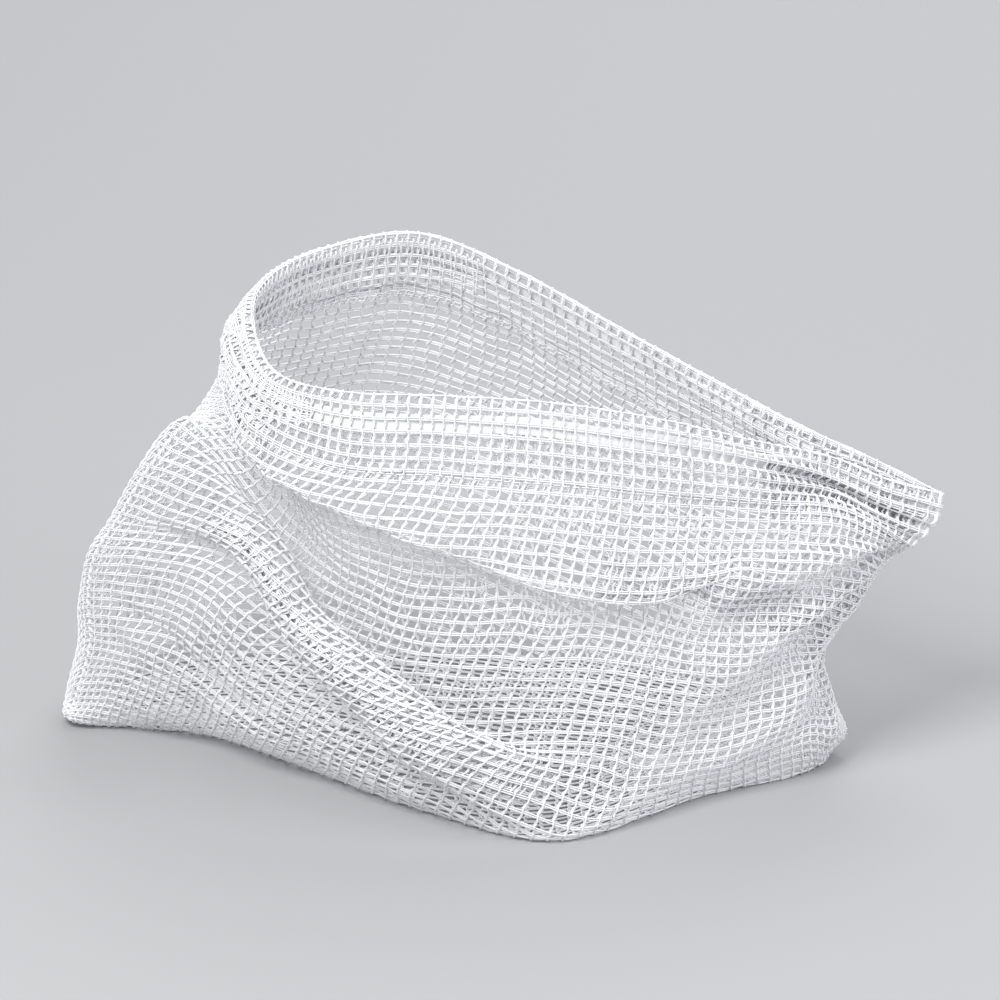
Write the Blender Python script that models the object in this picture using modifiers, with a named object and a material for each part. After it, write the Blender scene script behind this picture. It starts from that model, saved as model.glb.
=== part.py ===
"""Mesh produce bag with a drawstring hem, slumped open on a table.

Metres, +Z up.  The origin is on the table under the middle of the bag.
The bag is two rectangles of netting, 288 mm wide and 240 mm deep, joined at
both sides and along the bottom.  A place on the cloth is given by two flat
distances in millimetres: u runs round the bag from the right side seam, along
the front panel (0 to 288) and back along the back panel (288 to 576), and v
runs down from the folded top edge (0) to the bottom seam (240).  The slumped
shape is a control cage with one column for every 36 mm of cloth; every piece
is laid along it.
"""

import math

import bmesh
import bpy
import numpy as np
from mathutils import Vector

MM = 0.001

# ---- driving dimensions, in millimetres ------------------------------------
FLAT_WIDTH = 288.0          # one panel, seam to seam
FLAT_DEPTH = 240.0          # folded top edge to bottom seam
HEM_DEPTH = 28.0            # depth of the folded casing
NET_THICKNESS = 1.2
CASING_ROOM = 3.8           # between the two layers of the casing, centre to centre
TAPE_WIDTH = 6.0
TAPE_THICKNESS = 0.9
TAPE_DROP = 8.5             # centre of the tape below the folded edge
TAPE_INSET = 1.9            # centre of the tape behind the outer layer
SEAM_RADIUS = 0.7           # overlocked edge
SEAM_CLEAR = 2.3            # panel edge to the middle of the seam
TOUCH = 0.35                # space between pieces that meet
STITCH_RADIUS = 0.35
STITCH_DROP = 25.0
STITCH_PROUD = 1.3          # stitch centre in front of the outer layer
TABLE = 0.6                 # middle of the netting where it lies on the table
MIDDLE = (2.35, 1.2, 0.0)   # moves the cage's own zero under the middle of the bag
PULL_AXIS = (0.9100, 0.0, -0.4146)   # the way the pull loop leaves the casing
PULL_LEG_START = 110.5      # x where the moving legs begin, inside the casings
PULL_LEG_END = 136.6        # x where the bight begins

# ---- the slumped shape: u, then (v, x, y, z) down the cloth ------------------
COLUMNS = [
    # right side seam, front half of the corner
    (0, ((0, 141, -7, 88), (8, 140.2, -7, 82), (14, 139.5, -7, 77.5), (28, 136, -3, 69.5), (44, 130, 8, 63.5), (62, 119.5, 10, 51),
         (88, 109.5, 2, 39), (112, 103, -4, 26), (128, 109, -10, 15.5), (140, 112, -12, 6.5), (150, 106, -11, 0.6),
         (200, 94, -12, 0.6), (240, 82, -12, 0.6))),
    (18, ((0, 125.5, -7, 95), (8, 124.7, -7, 89), (14, 124, -7, 84.5), (28, 124, -10, 77), (46, 120.5, -10, 68), (64, 113, -12, 55.5),
          (95, 104, -16, 40), (118, 105, -20, 25), (134, 108, -24, 12), (146, 105, -21, 0.6), (195, 90, -21, 0.6),
          (240, 74, -13, 0.6))),
    (36, ((0, 110, -7, 102), (8, 109.4, -7.1, 96), (14, 109, -7.4, 91.5), (28, 112.5, -16, 85), (46, 111, -24, 74), (64, 105.5, -28, 61),
          (95, 99, -30, 44), (118, 100.5, -32, 27), (140, 99, -35, 12.5), (152, 97, -31, 0.6), (195, 80, -27, 0.6),
          (240, 66, -14.5, 0.6))),
    (72, ((0, 81, -24, 116.5), (28, 83, -33, 95), (50, 81, -43, 79.5), (66, 78, -47, 67.5), (90, 73.5, -50, 48.5),
          (115, 69.5, -54, 29), (134, 66, -57, 12.5), (148, 64, -51, 0.6), (240, 46, -18, 0.6))),
    # middle of the front: collar slumping over the lower part
    (108, ((0, 49, -40, 130.5), (28, 49, -49, 104), (46, 47.5, -58, 89), (62, 44, -66, 75), (82, 41, -62, 66.5),
           (111, 31.5, -70, 42.5), (140, 24.5, -80, 20), (158, 18.5, -90, 3.5), (167, 17, -88, 0.6), (240, 19, -21, 0.6))),
    (144, ((0, 15, -49, 139.5), (28, 14, -59, 111.5), (44, 11, -69, 98.5), (60, 7.5, -78, 86.5), (94, 4.5, -70, 76),
           (120, -3.5, -76, 55.5), (144, -12, -76, 34), (152, -14, -83, 30.5), (166, -19, -84, 16), (181, -22.5, -70, 6),
           (188, -22, -61, 0.6), (240, -14, -13, 0.6))),
    (180, ((0, -20, -53, 143.5), (28, -22.5, -62, 116), (49, -31.5, -73, 100.5), (82, -34.5, -65, 89.5),
           (100, -41.5, -66, 77), (116, -51, -62, 61.5), (124, -54, -69, 61), (138, -62, -64, 48.5), (154, -66, -50, 40),
           (172, -73, -38, 22), (192, -76, -7, 0.6), (240, -47, 5, 0.6))),
    # left of the front: the diagonal fold and the lobe that lies beyond it
    (216, ((0, -54, -49, 143.5), (28, -58, -57, 117.5), (38, -65.5, -60, 111), (78, -69.5, -44, 95.5), (96, -78, -38, 74),
           (106, -80.5, -50, 80), (118, -87, -46, 75.5), (136, -91.5, -32, 63), (160, -102.5, -22, 39),
           (185, -112.5, -6, 13), (198, -114, 5, 0.6), (240, -80, 20, 0.6))),
    (252, ((0, -77, -28, 142.5), (28, -84.5, -33, 121), (34, -86, -34, 117), (76, -89, -18, 103.5), (88, -93.5, -22, 102),
           (96, -98.5, -28, 101), (106, -103, -26, 96), (124, -109, -22, 80), (152, -118, -14, 55.5), (180, -126.5, -4, 31),
           (206, -134, 6, 9), (216, -133, 9, 0.6), (240, -111, 22, 0.6))),
    # left side seam
    (288, ((0, -87, 5, 148), (14, -97, 5, 141), (28, -94, 5, 129), (36, -93.5, 4, 122), (72, -97, 6, 111),
           (82, -104.5, 8, 110.5), (98, -116.5, 6, 97.5), (120, -127.5, 10, 76), (138, -135.5, 12, 62), (160, -138.5, 14, 44),
           (180, -137.5, 14, 29.5), (206, -143, 13, 9), (226, -144.5, 11, 2.5), (240, -134, 19, 0.6))),
    # back panel
    (324, ((0, -80.5, 33, 151.5), (28, -88, 36, 127), (60, -100, 42, 104), (100, -118, 46, 76), (140, -132, 44, 44),
           (170, -140, 38, 16), (188, -138, 34, 0.6), (212, -128, 37, 0.6),
           (240, -111, 22, 0.6))),
    (360, ((0, -62, 55, 153.5), (28, -67, 62, 127.5), (60, -76, 72, 98), (100, -92, 80, 66), (140, -104, 80, 32),
           (168, -106, 72, 5), (178, -103, 66, 0.6), (240, -80, 20, 0.6))),
    (396, ((0, -29, 66, 155), (28, -31, 74, 129), (60, -36, 84, 100), (100, -46, 90, 64), (138, -54, 86, 28),
           (162, -55, 76, 4), (170, -54, 70, 0.6), (240, -47, 5, 0.6))),
    (432, ((0, 4.5, 64, 142), (28, 5, 72, 116), (60, 3, 82, 88), (100, -2, 88, 50), (132, -6, 82, 18), (150, -8, 73, 0.6),
           (240, -14, -13, 0.6))),
    (468, ((0, 38.5, 53, 126), (28, 39, 60, 100), (60, 38, 70, 72), (100, 36, 76, 34), (130, 33, 70, 6), (138, 32, 65, 0.6),
           (240, 19, -21, 0.6))),
    (504, ((0, 72.5, 30, 115), (28, 72, 38, 90), (60, 70, 50, 60), (100, 70, 56, 26), (125, 68, 52, 4), (132, 66, 48, 0.6),
           (240, 46, -18, 0.6))),
    (540, ((0, 106, 3, 107), (8, 105.4, 3.2, 101), (14, 105, 3.6, 96.5), (28, 105, 13, 85.5), (50, 102, 25, 66), (75, 95, 29, 46), (100, 93, 27, 26),
           (122, 96, 20, 8), (134, 94, 15, 0.6), (190, 80, 7, 0.6),
           (240, 66, -14.5, 0.6))),
    (558, ((0, 123.5, 3, 99), (8, 122.9, 3, 93), (14, 122.5, 3, 88.5), (28, 121, 7, 79), (46, 116, 15, 66), (64, 109, 18, 52), (95, 100.5, 14, 32),
           (118, 102, 7, 16), (134, 104, 1, 5), (146, 101, -1, 0.6), (195, 88, -1, 0.6),
           (240, 74, -13, 0.6))),
    # right side seam again, back half of the corner
    (576, ((0, 141, 3, 91), (8, 140.2, 3, 85), (14, 139.5, 3, 80.5), (28, 135.5, 4, 71.5), (44, 130, 8, 63.5), (62, 119.5, 10, 51),
           (88, 109.5, 2, 39), (112, 103, -4, 26), (128, 109, -10, 15.5), (140, 112, -12, 6.5), (150, 106, -11, 0.6),
           (200, 94, -12, 0.6), (240, 82, -12, 0.6))),
]


def smooth_line(knots, points, places):
    """A smooth curve through the points, read at the places asked for."""
    t = np.asarray(knots, float)
    p = np.asarray(points, float)
    q = np.asarray(places, float)
    h = np.diff(t)
    d = np.diff(p, axis=0) / h[:, None]
    m = np.empty_like(p)
    m[0], m[-1] = d[0], d[-1]
    m[1:-1] = (h[1:, None] * d[:-1] + h[:-1, None] * d[1:]) / (h[1:] + h[:-1])[:, None]
    k = np.clip(np.searchsorted(t, q, side="right") - 1, 0, len(h) - 1)
    s = ((q - t[k]) / h[k])[:, None]
    hk = h[k][:, None]
    return (
        (1 + 2 * s) * (1 - s) ** 2 * p[k]
        + s * (1 - s) ** 2 * hk * m[k]
        + s * s * (3 - 2 * s) * p[k + 1]
        + s * s * (s - 1) * hk * m[k + 1]
    )


def cloth(us, vs):
    """Points of the cloth's middle surface, in mm, as an array of us by vs."""
    us, vs = np.asarray(us, float), np.asarray(vs, float)
    rows = [
        smooth_line([r[0] for r in column], [r[1:] for r in column], vs)
        for _, column in COLUMNS
    ]
    stack = np.array(rows).reshape(len(COLUMNS), -1)
    grid = smooth_line([u for u, _ in COLUMNS], stack, us).reshape(len(us), len(vs), 3)
    grid[..., 2] = np.maximum(grid[..., 2], TABLE)
    return grid


def outward(us, vs):
    """Unit normals of the cloth, pointing out of the bag."""
    e = 1.0
    us, vs = np.asarray(us, float), np.asarray(vs, float)
    lo_u, hi_u = np.clip(us - e, 0, 576), np.clip(us + e, 0, 576)
    lo_v, hi_v = np.clip(vs - e, 0, FLAT_DEPTH), np.clip(vs + e, 0, FLAT_DEPTH)
    n = np.cross(cloth(hi_u, vs) - cloth(lo_u, vs), cloth(us, hi_v) - cloth(us, lo_v))
    return n / np.maximum(np.linalg.norm(n, axis=2, keepdims=True), 1e-9)


# ---- scene and materials ----------------------------------------------------
for old in list(bpy.data.objects):
    bpy.data.objects.remove(old, do_unlink=True)

bag = bpy.data.collections.new("mesh_produce_bag")
bpy.context.scene.collection.children.link(bag)

# the whole bag hangs on one empty, so that the origin is under its middle
middle_of_bag = bpy.data.objects.new("middle_of_bag", None)
middle_of_bag.location = Vector(MIDDLE) * MM
bag.objects.link(middle_of_bag)


def material(name, colour, roughness):
    made = bpy.data.materials.new(name)
    made.use_nodes = True
    shader = made.node_tree.nodes["Principled BSDF"]
    shader.inputs["Base Color"].default_value = (*colour, 1)
    shader.inputs["Roughness"].default_value = roughness
    shader.inputs["Metallic"].default_value = 0.0
    made.diffuse_color = (*colour, 1)
    return made


NETTING = material("cotton_netting", (0.86, 0.86, 0.88), 0.92)
TAPE = material("woven_cotton_tape", (0.90, 0.90, 0.91), 0.88)
THREAD = material("sewing_thread", (0.92, 0.92, 0.93), 0.75)


def add(name, mesh, look):
    made = bpy.data.objects.new(name, mesh)
    made.parent = middle_of_bag
    bag.objects.link(made)
    if not mesh.materials:
        mesh.materials.append(look)
    return made


def sheet_mesh(name, points, wrap=False):
    """An open grid of quads through an array of points (nu, nv, 3) in mm. With
    wrap, the second direction closes on itself, as a sleeve does."""
    nu, nv = points.shape[:2]
    bm = bmesh.new()
    bmesh.ops.create_grid(bm, x_segments=nu - 1, y_segments=nv - 1 + int(wrap), size=0.5)
    for vert in bm.verts:
        i = round((vert.co.x + 0.5) * (nu - 1))
        j = round((vert.co.y + 0.5) * (nv - 1 + int(wrap)))
        vert.co = Vector(points[i, j % nv]) * MM
    if wrap:
        bmesh.ops.remove_doubles(bm, verts=bm.verts, dist=1e-7)
    mesh = bpy.data.meshes.new(name)
    bm.to_mesh(mesh)
    bm.free()
    return mesh


def shell(name, points, thickness, look, wrap=False, on_table=False):
    """A sheet given a thickness, evenly to both sides of its surface. Where it
    lies on the table its underside is levelled to z = 0."""
    sheet = add(name, sheet_mesh(name, points, wrap), look)
    solid = sheet.modifiers.new("thickness", "SOLIDIFY")
    solid.thickness = thickness * MM
    solid.offset = 0.0
    solid.use_even_offset = False
    if on_table:
        graph = bpy.context.evaluated_depsgraph_get()
        thick = bpy.data.meshes.new_from_object(sheet.evaluated_get(graph))
        for vert in thick.vertices:
            if vert.co.z < 0.00012:
                vert.co.z = 0.0
            elif abs(vert.co.z - thickness * MM) < 0.00012:
                vert.co.z = thickness * MM
        sheet.modifiers.clear()
        sheet.data = thick
        thick.name = name
    sheet.data.shade_smooth()
    return sheet


def cord(name, points, radius, look, resolution=2):
    """A round thread or beaded edge along a line of points in mm."""
    line = bpy.data.curves.new(name, "CURVE")
    line.dimensions = "3D"
    line.bevel_depth = radius * MM
    line.bevel_resolution = resolution
    line.use_fill_caps = True
    spline = line.splines.new("POLY")
    spline.points.add(len(points) - 1)
    for place, p in zip(spline.points, points):
        place.co = (*(Vector(p) * MM), 1)
    line.materials.append(look)
    made = bpy.data.objects.new(name, line)
    made.parent = middle_of_bag
    bag.objects.link(made)
    return made


def at(us, vs):
    """Cloth points and normals for places given pair by pair."""
    p = np.array([cloth([u], [v])[0, 0] for u, v in zip(us, vs)])
    n = np.array([outward([u], [v])[0, 0] for u, v in zip(us, vs)])
    return p, n


# ---- net panels, from the hem to the bottom seam ----------------------------
ROWS = np.array([29.2, 36, 44, 52, 60, 70, 82, 94, 105, 116, 127, 138, 150, 162, 175, 189, 205, 222, FLAT_DEPTH])


def stations(first, last):
    """The places round the bag at which a piece is laid out, one every 8 mm of
    cloth. Every piece shares them, so that layers stay parallel."""
    inner = [u for u in np.arange(0.0, 2 * FLAT_WIDTH + 1, 8.0) if first + 1.5 < u < last - 1.5]
    return np.array([first, *inner, last])


def unit(vectors):
    return vectors / np.linalg.norm(vectors, axis=-1, keepdims=True)


def beside(edge, inner):
    """The panel's edge, moved in from the middle of the side seam towards the
    next column."""
    along = unit(np.gradient(edge, axis=0))
    inward = inner - edge
    return edge + unit(inward - (inward * along).sum(axis=1, keepdims=True) * along) * SEAM_CLEAR


def beside_bottom(row):
    """The bottom row, moved off the bottom seam across the table. The columns
    nearest the corners are spread evenly along it, because the cloth gathers there."""
    row = row.copy()
    for end in (row[:6], row[::-1][:6]):
        corner = end[0] + unit(end[5] - end[0]) * SEAM_CLEAR
        end[:] = corner + (end[5] - corner) * np.linspace(0, 1, 6)[:, None]
    return row + unit(np.cross([0.0, 0.0, 1.0], unit(np.gradient(row, axis=0)))) * SEAM_CLEAR


def panel(name, first, last):
    points = cloth(stations(first, last), ROWS)
    bottom_row = beside_bottom(points[:, -1])
    points[0], points[-1] = beside(points[0], points[1]), beside(points[-1], points[-2])
    points[:, -1] = bottom_row
    return shell(name, points, NET_THICKNESS, NETTING, on_table=True)


panel("front_panel", 0, FLAT_WIDTH)
panel("back_panel", FLAT_WIDTH, 2 * FLAT_WIDTH)

# ---- hem casings: a flat sleeve of two layers, open at both ends ------------
# the sleeve's section as (v, distance behind the outer layer)
SLEEVE = (
    (1.6, 0.0), (5.0, 0.0), (9.0, 0.0), (13.0, 0.0), (19.0, 0.0), (25.6, 0.0), (27.3, 0.5), (27.3, 1.6), (25.8, 2.3),
    (19.0, 3.3), (13.0, CASING_ROOM), (9.0, CASING_ROOM), (5.0, CASING_ROOM), (2.4, CASING_ROOM), (0.7, 2.9),
    (0.0, 1.8), (0.5, 0.7),
)


def casing(name, first, last):
    us = stations(first, last)
    vs = [v for v, _ in SLEEVE]
    depth = np.array([d for _, d in SLEEVE])
    points = cloth(us, vs) - outward(us, vs) * depth[None, :, None]
    return shell(name, points, NET_THICKNESS, NETTING, wrap=True)


casing("front_hem_casing", 4.0, FLAT_WIDTH - 0.3)
casing("back_hem_casing", FLAT_WIDTH + 0.3, 2 * FLAT_WIDTH - 14.0)

# ---- lockstitch that closes each casing -------------------------------------
for name, first, last in (
    ("front_hem_stitching", 5.5, FLAT_WIDTH - 1.0),
    ("back_hem_stitching", FLAT_WIDTH + 1.0, 2 * FLAT_WIDTH - 16.0),
):
    us = stations(first, last)
    p = cloth(us, [STITCH_DROP])[:, 0] + outward(us, [STITCH_DROP])[:, 0] * STITCH_PROUD
    cord(name, p, STITCH_RADIUS, THREAD)

# ---- overlocked seams -------------------------------------------------------


def resting(points, radius):
    points = points.copy()
    points[:, 2] = np.maximum(points[:, 2], radius + 0.02)
    return points


us = np.linspace(0, FLAT_WIDTH, 52)
bottom = (cloth(us, [FLAT_DEPTH])[:, 0] + cloth(2 * FLAT_WIDTH - us, [FLAT_DEPTH])[:, 0]) / 2
cord("bottom_seam", resting(bottom[1:-2], SEAM_RADIUS), SEAM_RADIUS, NETTING)
vs = np.linspace(30, FLAT_DEPTH, 52)
left = cloth([FLAT_WIDTH], vs[:-1])[0]
cord("left_side_seam", resting(left, SEAM_RADIUS), SEAM_RADIUS, NETTING)
right = (cloth([0], vs[:-1])[0] + cloth([2 * FLAT_WIDTH], vs[:-1])[0]) / 2
cord("right_side_seam", resting(right, SEAM_RADIUS), SEAM_RADIUS, NETTING)

# ---- drawstring: one flat tape, in the casings all the way round ------------
axis = Vector(PULL_AXIS).normalized()
down = Vector((axis.z, 0, -axis.x))          # across the tape, towards the floor
half = TAPE_WIDTH / 2


def leg_line(y, u, v):
    """A point on the straight line that a leg of the pull loop slides along."""
    p, n = at([u], [v])
    p = Vector(p[0] - n[0] * TAPE_INSET)
    return Vector((p.x, y, p.z))


front_from = leg_line(-5.0, 18, TAPE_DROP)
back_from = leg_line(0.9, 2 * FLAT_WIDTH - 18, TAPE_DROP)


def on_leg(start, x):
    return start + axis * ((x - start.x) / axis.x)


def tape(name, middles, across):
    """A flat ribbon through its middle line, as wide as the tape."""
    points = [[Vector(m) + Vector(a) * (half * k) for k in (-1, 0, 1)] for m, a in zip(middles, across)]
    return shell(name, np.array(points), TAPE_THICKNESS, TAPE)


def u_at_x(x, first, last):
    """The place along a casing where the tape's middle reaches x."""
    us = np.linspace(first, last, 400)
    xs = cloth(us, [TAPE_DROP])[:, 0, 0]
    return us[np.argmin(abs(xs - x))]


def run(name, first, last, leg_start):
    """The tape inside a casing, ending square against a leg of the loop."""
    us = stations(min(first, last), max(first, last))
    if first > last:
        us = us[::-1]
    vs = [TAPE_DROP - half, TAPE_DROP, TAPE_DROP + half]
    points = cloth(us, vs) - outward(us, vs) * TAPE_INSET
    end = on_leg(leg_start, PULL_LEG_START) - axis * TOUCH
    points[-1] = [end - down * half, end, end + down * half]
    shell(name, points, TAPE_THICKNESS, TAPE)


run("drawstring_front_run", FLAT_WIDTH - 0.15, u_at_x(PULL_LEG_START, 10, 60), front_from)
run("drawstring_back_run", FLAT_WIDTH + 0.15, u_at_x(PULL_LEG_START, 516, 566), back_from)

# the pull loop: two straight legs and the bight between them
loop_middle, loop_across = [], []
a0, a1 = on_leg(front_from, PULL_LEG_START), on_leg(front_from, PULL_LEG_END)
b0, b1 = on_leg(back_from, PULL_LEG_START), on_leg(back_from, PULL_LEG_END)
for k in range(5):
    loop_middle.append(a0.lerp(a1, k / 4))
reach = (b1.y - a1.y) / 2
for k in range(1, 10):
    turn = math.pi * k / 10
    base = a1.lerp(b1, (1 - math.cos(turn)) / 2)
    loop_middle.append(base + axis * reach * math.sin(turn) * 1.25)
for k in range(4, -1, -1):
    loop_middle.append(b0.lerp(b1, k / 4))
origin = (a0 + b0) / 2
loop = tape(
    "drawstring_pull_loop",
    [m - origin for m in loop_middle],
    [down] * len(loop_middle),
)
loop.location = origin * MM
bpy.context.view_layer.update()
print("pull origin mm", tuple(round(c, 2) for c in origin), "axis", tuple(round(c, 5) for c in axis))
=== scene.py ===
"""Mesh produce bag: the netting, thread by thread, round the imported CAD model.

A place on the cloth is given by two flat distances in millimetres: u runs round
the bag from the right side seam, along the front panel (0 to 288) and back
along the back panel (288 to 576), and v runs down from the folded top edge (0)
to the bottom seam (240).  The shape that the cloth hangs in is the CAD model's
own cage, with the tucks of the folds added.  Over it lies a lattice of meshes
4 mm apart, which is slid along the surface until its meshes are as even as the
cloth allows.  Warp chains and weft pairs are then laid on the lattice as real
threads.
"""

import math

import bpy
import numpy as np
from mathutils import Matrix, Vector


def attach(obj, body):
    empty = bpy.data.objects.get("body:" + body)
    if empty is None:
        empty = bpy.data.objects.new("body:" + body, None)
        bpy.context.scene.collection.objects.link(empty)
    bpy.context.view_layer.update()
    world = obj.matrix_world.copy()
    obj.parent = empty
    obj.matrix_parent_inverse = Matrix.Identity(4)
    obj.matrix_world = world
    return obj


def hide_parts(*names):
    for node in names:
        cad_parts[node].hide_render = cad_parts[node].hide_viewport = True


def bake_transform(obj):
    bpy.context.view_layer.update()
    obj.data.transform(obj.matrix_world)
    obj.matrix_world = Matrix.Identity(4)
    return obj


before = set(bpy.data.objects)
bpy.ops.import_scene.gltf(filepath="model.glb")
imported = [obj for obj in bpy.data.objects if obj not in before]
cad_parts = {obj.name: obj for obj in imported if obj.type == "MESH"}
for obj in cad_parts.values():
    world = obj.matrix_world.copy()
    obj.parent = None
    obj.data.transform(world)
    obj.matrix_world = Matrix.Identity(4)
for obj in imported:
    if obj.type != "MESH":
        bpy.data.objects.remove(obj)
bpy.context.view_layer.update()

MM = 0.001
MIDDLE = np.array([2.35, 1.2, 0.0])      # the cage's zero in the row frame, mm
FLAT_WIDTH, FLAT_DEPTH, HEM = 288.0, 240.0, 28.0
PITCH = 4.0                              # one mesh of the net
COLS = int(2 * FLAT_WIDTH / PITCH)       # 144 meshes round the bag
ROWS = int(FLAT_DEPTH / PITCH)           # 60 meshes deep
HEM_ROWS = int(HEM / PITCH)              # 7 rows turned inside
TABLE = 0.6

# ---- camera -----------------------------------------------------------------
ELEVATION = math.radians(22.0)
TARGET = Vector((0.00037, 0.0, 0.0859))
VIEW_WIDTH = 0.33                        # metres across the picture
LENS = 1000.0
away = LENS * VIEW_WIDTH / 36.0
camera_data = bpy.data.cameras.new("camera")
camera_data.lens = LENS
camera_data.sensor_width = 36.0
camera_data.clip_start, camera_data.clip_end = 0.1, 100.0
camera = bpy.data.objects.new("camera", camera_data)
bpy.context.scene.collection.objects.link(camera)
back = Vector((0.0, -math.cos(ELEVATION), math.sin(ELEVATION)))
camera.location = TARGET + back * away
camera.rotation_mode = "QUATERNION"
camera.rotation_quaternion = (-back).to_track_quat("-Z", "Y")
bpy.context.scene.camera = camera
bpy.context.scene.view_settings.view_transform = "Standard"

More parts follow.
